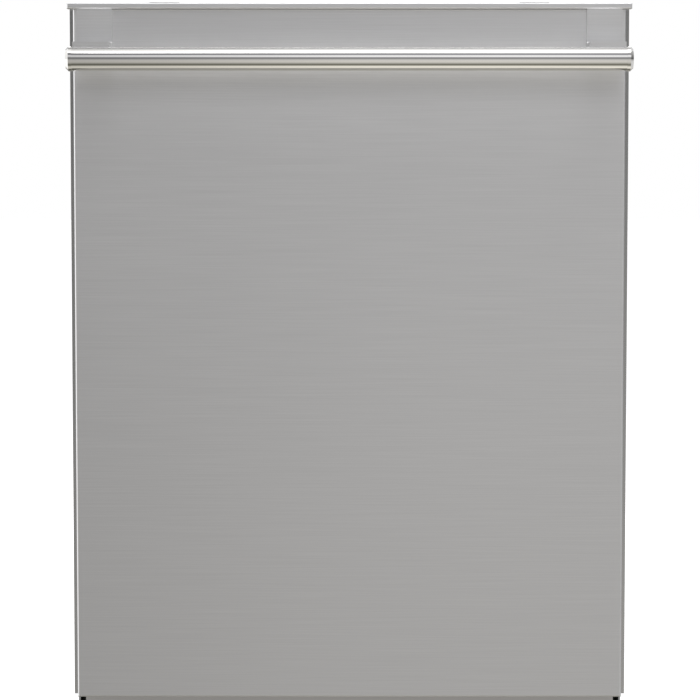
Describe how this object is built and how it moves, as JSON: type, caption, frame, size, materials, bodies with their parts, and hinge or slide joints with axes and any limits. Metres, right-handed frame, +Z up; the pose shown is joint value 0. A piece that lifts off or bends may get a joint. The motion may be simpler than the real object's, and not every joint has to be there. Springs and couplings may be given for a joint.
{
  "type": "built-in dishwasher",
  "caption": "Built-in dishwasher with a plain brushed steel door, a round bar handle on wide end brackets, racks, spray arms, hinge and levelling feet.",
  "frame": {"origin": "on the floor, under the middle of the machine's bounding box", "axes": "+X to the right seen from the front, +Y to the back, +Z up; the door faces -Y"},
  "size_m": [0.596, 0.643, 0.852],
  "materials": {
    "tub steel": "fine brushed inside",
    "seal rubber": "matte",
    "felt": "felt",
    "galvanised side": "galvanised",
    "base plastic": "textured",
    "foot plastic": "matte",
    "kick steel": "brushed",
    "screw steel": "bright",
    "bracket zinc": "zinc",
    "valve plastic": "moulded",
    "sump plastic": "moulded",
    "filter plastic": "moulded",
    "pump plastic": "moulded",
    "heater steel": "heat tinted",
    "arm plastic": "moulded",
    "rack coating": "nylon coated wire",
    "wheel plastic": "moulded",
    "basket plastic": "moulded",
    "rail steel": "rolled",
    "door steel": "brushed across",
    "frame paint": "satin",
    "control gloss": "gloss",
    "button plastic": "satin",
    "handle steel": "polished satin",
    "dispenser plastic": "moulded"
  },
  "bodies": {
    "cabinet": {"tub_shell": "tub steel", "tub_seals": "seal rubber", "top_insulation": "felt", "side_panel_left": "galvanised side", "side_panel_right": "galvanised side", "base_tray": "base plastic", "toe_kick_panel": "kick steel", "toe_kick_screws": "screw steel", "counter_brackets": "bracket zinc", "junction_box": "bracket zinc", "inlet_valve": "valve plastic", "sump": "sump plastic", "filter_plate": "tub steel", "wash_pump": "pump plastic", "drain_pump": "pump plastic", "heater_element": "heater steel", "feed_tube": "arm plastic", "upper_rails": "rail steel", "latch_strike": "screw steel", "hinge_brackets": "bracket zinc"},
    "door": {"door_outer_panel": "door steel", "door_frame": "frame paint", "door_inner_liner": "tub steel", "door_top_lip": "door steel", "control_panel": "control gloss", "handle_bar": "handle steel", "handle_caps": "handle steel", "handle_bracket_left": "handle steel", "handle_bracket_right": "handle steel", "dispenser_body": "dispenser plastic", "hinge_arms": "bracket zinc"},
    "runner_middles": {"rail_middles": "rail steel"},
    "upper_basket": {"upper_rack": "rack coating", "upper_manifold": "arm plastic", "upper_slides": "rail steel"},
    "lower_basket": {"lower_rack": "rack coating", "wheel_carriers": "wheel plastic"},
    "foot_front_left_body": {"foot_front_left": "foot plastic"},
    "foot_front_right_body": {"foot_front_right": "foot plastic"},
    "foot_back_left_body": {"foot_back_left": "foot plastic"},
    "foot_back_right_body": {"foot_back_right": "foot plastic"},
    "micro_filter_body": {"micro_filter": "filter plastic"},
    "float_dome_body": {"float_dome": "filter plastic"},
    "spray_arm_lower_body": {"spray_arm_lower": "arm plastic"},
    "spray_arm_upper_body": {"spray_arm_upper": "arm plastic"},
    "spray_arm_top_body": {"spray_arm_top": "arm plastic"},
    "wheel_front_left_body": {"wheel_front_left": "wheel plastic"},
    "wheel_front_right_body": {"wheel_front_right": "wheel plastic"},
    "wheel_back_left_body": {"wheel_back_left": "wheel plastic"},
    "wheel_back_right_body": {"wheel_back_right": "wheel plastic"},
    "folding_tines_body": {"folding_tines": "rack coating"},
    "cutlery_basket_body": {"cutlery_basket": "basket plastic"},
    "cup_shelf_body": {"cup_shelf": "rack coating"},
    "button_power_body": {"button_power": "button plastic"},
    "button_programme_body": {"button_programme": "button plastic"},
    "button_dry_body": {"button_dry": "button plastic"},
    "button_start_body": {"button_start": "button plastic"},
    "latch_hook_body": {"latch_hook": "screw steel"},
    "dispenser_lid_body": {"dispenser_lid": "dispenser plastic"},
    "rinse_cap_body": {"rinse_cap": "wheel plastic"}
  },
  "joints": [
    {"name": "door_hinge", "type": "hinge", "parent": "cabinet", "child": "door", "pos_m": [0, -0.222, 0.127], "axis": [1, 0, 0], "range_deg": [0, 90]},
    {"name": "upper_basket_slide", "type": "slide", "parent": "cabinet", "child": "upper_basket", "axis": [0, -1, 0], "range_m": [0, 0.41]},
    {"name": "runner_middle_slide", "type": "slide", "parent": "cabinet", "child": "runner_middles", "axis": [0, -1, 0], "range_m": [0, 0.205]},
    {"name": "lower_basket_slide", "type": "slide", "parent": "cabinet", "child": "lower_basket", "axis": [0, -1, 0], "range_m": [0, 0.158]},
    {"name": "micro_filter_turn", "type": "hinge", "parent": "cabinet", "child": "micro_filter_body", "pos_m": [0.036, 0.023, 0.12], "axis": [0, 0, 1], "range_deg": [0, 60]},
    {"name": "float_lift", "type": "slide", "parent": "cabinet", "child": "float_dome_body", "axis": [0, 0, 1], "range_m": [0, 0.01]},
    {"name": "lower_arm_spin", "type": "hinge", "parent": "cabinet", "child": "spray_arm_lower_body", "pos_m": [0, 0.045, 0.176], "axis": [0, 0, 1], "continuous": true},
    {"name": "upper_arm_spin", "type": "hinge", "parent": "upper_basket", "child": "spray_arm_upper_body", "pos_m": [0, 0.045, 0.461], "axis": [0, 0, 1], "continuous": true},
    {"name": "top_arm_spin", "type": "hinge", "parent": "cabinet", "child": "spray_arm_top_body", "pos_m": [0, 0.045, 0.801], "axis": [0, 0, 1], "continuous": true},
    {"name": "folding_tines_hinge", "type": "hinge", "parent": "lower_basket", "child": "folding_tines_body", "pos_m": [0, 0.06, 0.2105], "axis": [1, 0, 0], "range_deg": [0, 85]},
    {"name": "cutlery_basket_lift", "type": "slide", "parent": "lower_basket", "child": "cutlery_basket_body", "axis": [0, 0, 1], "range_m": [0, 0.11]},
    {"name": "cup_shelf_hinge", "type": "hinge", "parent": "upper_basket", "child": "cup_shelf_body", "pos_m": [0.238, 0.04, 0.562], "axis": [0, 1, 0], "range_deg": [0, 80]},
    {"name": "latch_hook_drop", "type": "hinge", "parent": "door", "child": "latch_hook_body", "pos_m": [0, -0.214, 0.844], "axis": [-1, 0, 0], "range_deg": [0, 8], "stiffness_Nm_per_rad": 0.1, "springref_deg": -5.73},
    {"name": "dispenser_lid_slide", "type": "slide", "parent": "door", "child": "dispenser_lid_body", "axis": [1, 0, 0], "range_m": [0, 0.066]},
    {"name": "rinse_cap_turn", "type": "hinge", "parent": "door", "child": "rinse_cap_body", "pos_m": [0.076, -0.188, 0.5], "axis": [0, 1, 0], "range_deg": [0, 90]},
    {"name": "foot_front_left_screw", "type": "slide", "parent": "cabinet", "child": "foot_front_left_body", "axis": [0, 0, -1], "range_m": [0, 0.03]},
    {"name": "foot_front_right_screw", "type": "slide", "parent": "cabinet", "child": "foot_front_right_body", "axis": [0, 0, -1], "range_m": [0, 0.03]},
    {"name": "foot_back_left_screw", "type": "slide", "parent": "cabinet", "child": "foot_back_left_body", "axis": [0, 0, -1], "range_m": [0, 0.03]},
    {"name": "foot_back_right_screw", "type": "slide", "parent": "cabinet", "child": "foot_back_right_body", "axis": [0, 0, -1], "range_m": [0, 0.03]},
    {"name": "wheel_front_left_spin", "type": "hinge", "parent": "lower_basket", "child": "wheel_front_left_body", "pos_m": [-0.246, -0.0604, 0.1736], "axis": [1, 0, 0], "continuous": true},
    {"name": "wheel_front_right_spin", "type": "hinge", "parent": "lower_basket", "child": "wheel_front_right_body", "pos_m": [0.246, -0.0604, 0.1736], "axis": [1, 0, 0], "continuous": true},
    {"name": "wheel_back_left_spin", "type": "hinge", "parent": "lower_basket", "child": "wheel_back_left_body", "pos_m": [-0.246, 0.1424, 0.1736], "axis": [1, 0, 0], "continuous": true},
    {"name": "wheel_back_right_spin", "type": "hinge", "parent": "lower_basket", "child": "wheel_back_right_body", "pos_m": [0.246, 0.1424, 0.1736], "axis": [1, 0, 0], "continuous": true},
    {"name": "button_power_press", "type": "slide", "parent": "door", "child": "button_power_body", "axis": [0, 0, -1], "range_m": [0, 0.001], "stiffness_N_per_m": 400, "springref_m": -0.001},
    {"name": "button_programme_press", "type": "slide", "parent": "door", "child": "button_programme_body", "axis": [0, 0, -1], "range_m": [0, 0.001], "stiffness_N_per_m": 400, "springref_m": -0.001},
    {"name": "button_dry_press", "type": "slide", "parent": "door", "child": "button_dry_body", "axis": [0, 0, -1], "range_m": [0, 0.001], "stiffness_N_per_m": 400, "springref_m": -0.001},
    {"name": "button_start_press", "type": "slide", "parent": "door", "child": "button_start_body", "axis": [0, 0, -1], "range_m": [0, 0.001], "stiffness_N_per_m": 400, "springref_m": -0.001}
  ],
  "couplings": [
    {"joint": "upper_basket_slide", "follows": "door_hinge", "m_per_rad": 0.26},
    {"joint": "runner_middle_slide", "follows": "door_hinge", "m_per_rad": 0.13},
    {"joint": "lower_basket_slide", "follows": "door_hinge", "m_per_rad": 0.1}
  ]
}
